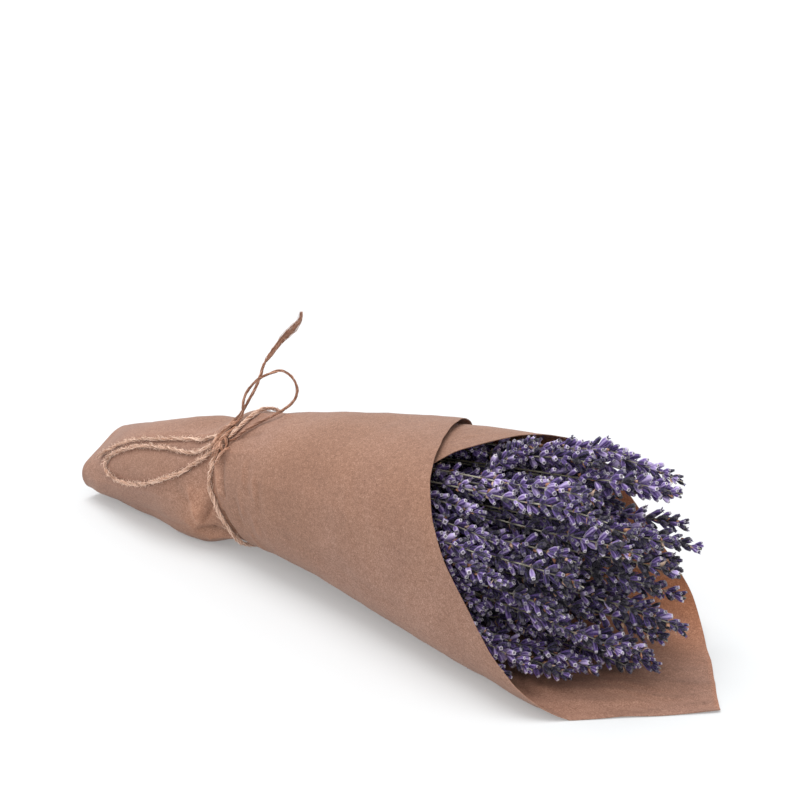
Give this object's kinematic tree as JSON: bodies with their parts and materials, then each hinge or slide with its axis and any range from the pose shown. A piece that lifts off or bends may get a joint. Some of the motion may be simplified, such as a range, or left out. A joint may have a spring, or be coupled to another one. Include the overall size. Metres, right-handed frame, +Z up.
{
  "type": "bunch of dried lavender",
  "caption": "Bunch of dried lavender lying on its side, rolled corner to corner in a cone of kraft paper and tied with a bow of jute twine.",
  "frame": {"origin": "centre of the bounding box in plan, on the surface that the bunch lies on", "axes": "+X along the bunch from the cut stem ends to the flowers, +Y towards the back of the bunch as it lies, +Z up"},
  "size_m": [0.454, 0.1423, 0.1416],
  "materials": {
    "kraft_paper": "matte with fine fibres and a soft sheen",
    "dried_stems": "dull grey green",
    "dried_flowers": "matte, ribbed and finely hairy",
    "jute": "rough twisted fibres"
  },
  "bodies": {
    "root": {"paper_wrap": "kraft_paper", "stems": "dried_stems", "flower_spray_01": "dried_flowers", "flower_spray_02": "dried_flowers", "flower_spray_03": "dried_flowers", "flower_spray_04": "dried_flowers", "flower_spray_05": "dried_flowers", "flower_spray_06": "dried_flowers", "flower_spray_07": "dried_flowers", "flower_spray_08": "dried_flowers", "flower_spray_09": "dried_flowers", "flower_spray_10": "dried_flowers", "flower_spray_11": "dried_flowers", "flower_spray_12": "dried_flowers", "flower_spray_13": "dried_flowers", "flower_spray_14": "dried_flowers", "flower_spray_15": "dried_flowers", "flower_spray_16": "dried_flowers", "flower_spray_17": "dried_flowers", "flower_spray_18": "dried_flowers", "flower_spray_19": "dried_flowers", "flower_spray_20": "dried_flowers", "flower_spray_21": "dried_flowers", "flower_spray_22": "dried_flowers", "flower_spray_23": "dried_flowers", "flower_spray_24": "dried_flowers", "flower_spray_25": "dried_flowers", "flower_spray_26": "dried_flowers", "flower_spray_27": "dried_flowers", "flower_spray_28": "dried_flowers", "flower_spray_29": "dried_flowers", "flower_spray_30": "dried_flowers", "flower_spray_31": "dried_flowers", "flower_spray_32": "dried_flowers", "flower_spray_33": "dried_flowers", "flower_spray_34": "dried_flowers", "flower_spray_35": "dried_flowers", "flower_spray_36": "dried_flowers", "flower_spray_37": "dried_flowers", "flower_spray_38": "dried_flowers", "flower_spray_39": "dried_flowers", "flower_spray_40": "dried_flowers", "flower_spray_41": "dried_flowers", "flower_spray_42": "dried_flowers", "flower_spray_43": "dried_flowers", "flower_spray_44": "dried_flowers", "flower_spray_45": "dried_flowers", "twine_band": "jute", "twine_knot": "jute", "twine_long_loop": "jute", "twine_low_end": "jute", "twine_upright_loop": "jute", "twine_upright_end": "jute"}
  },
  "joints": []
}
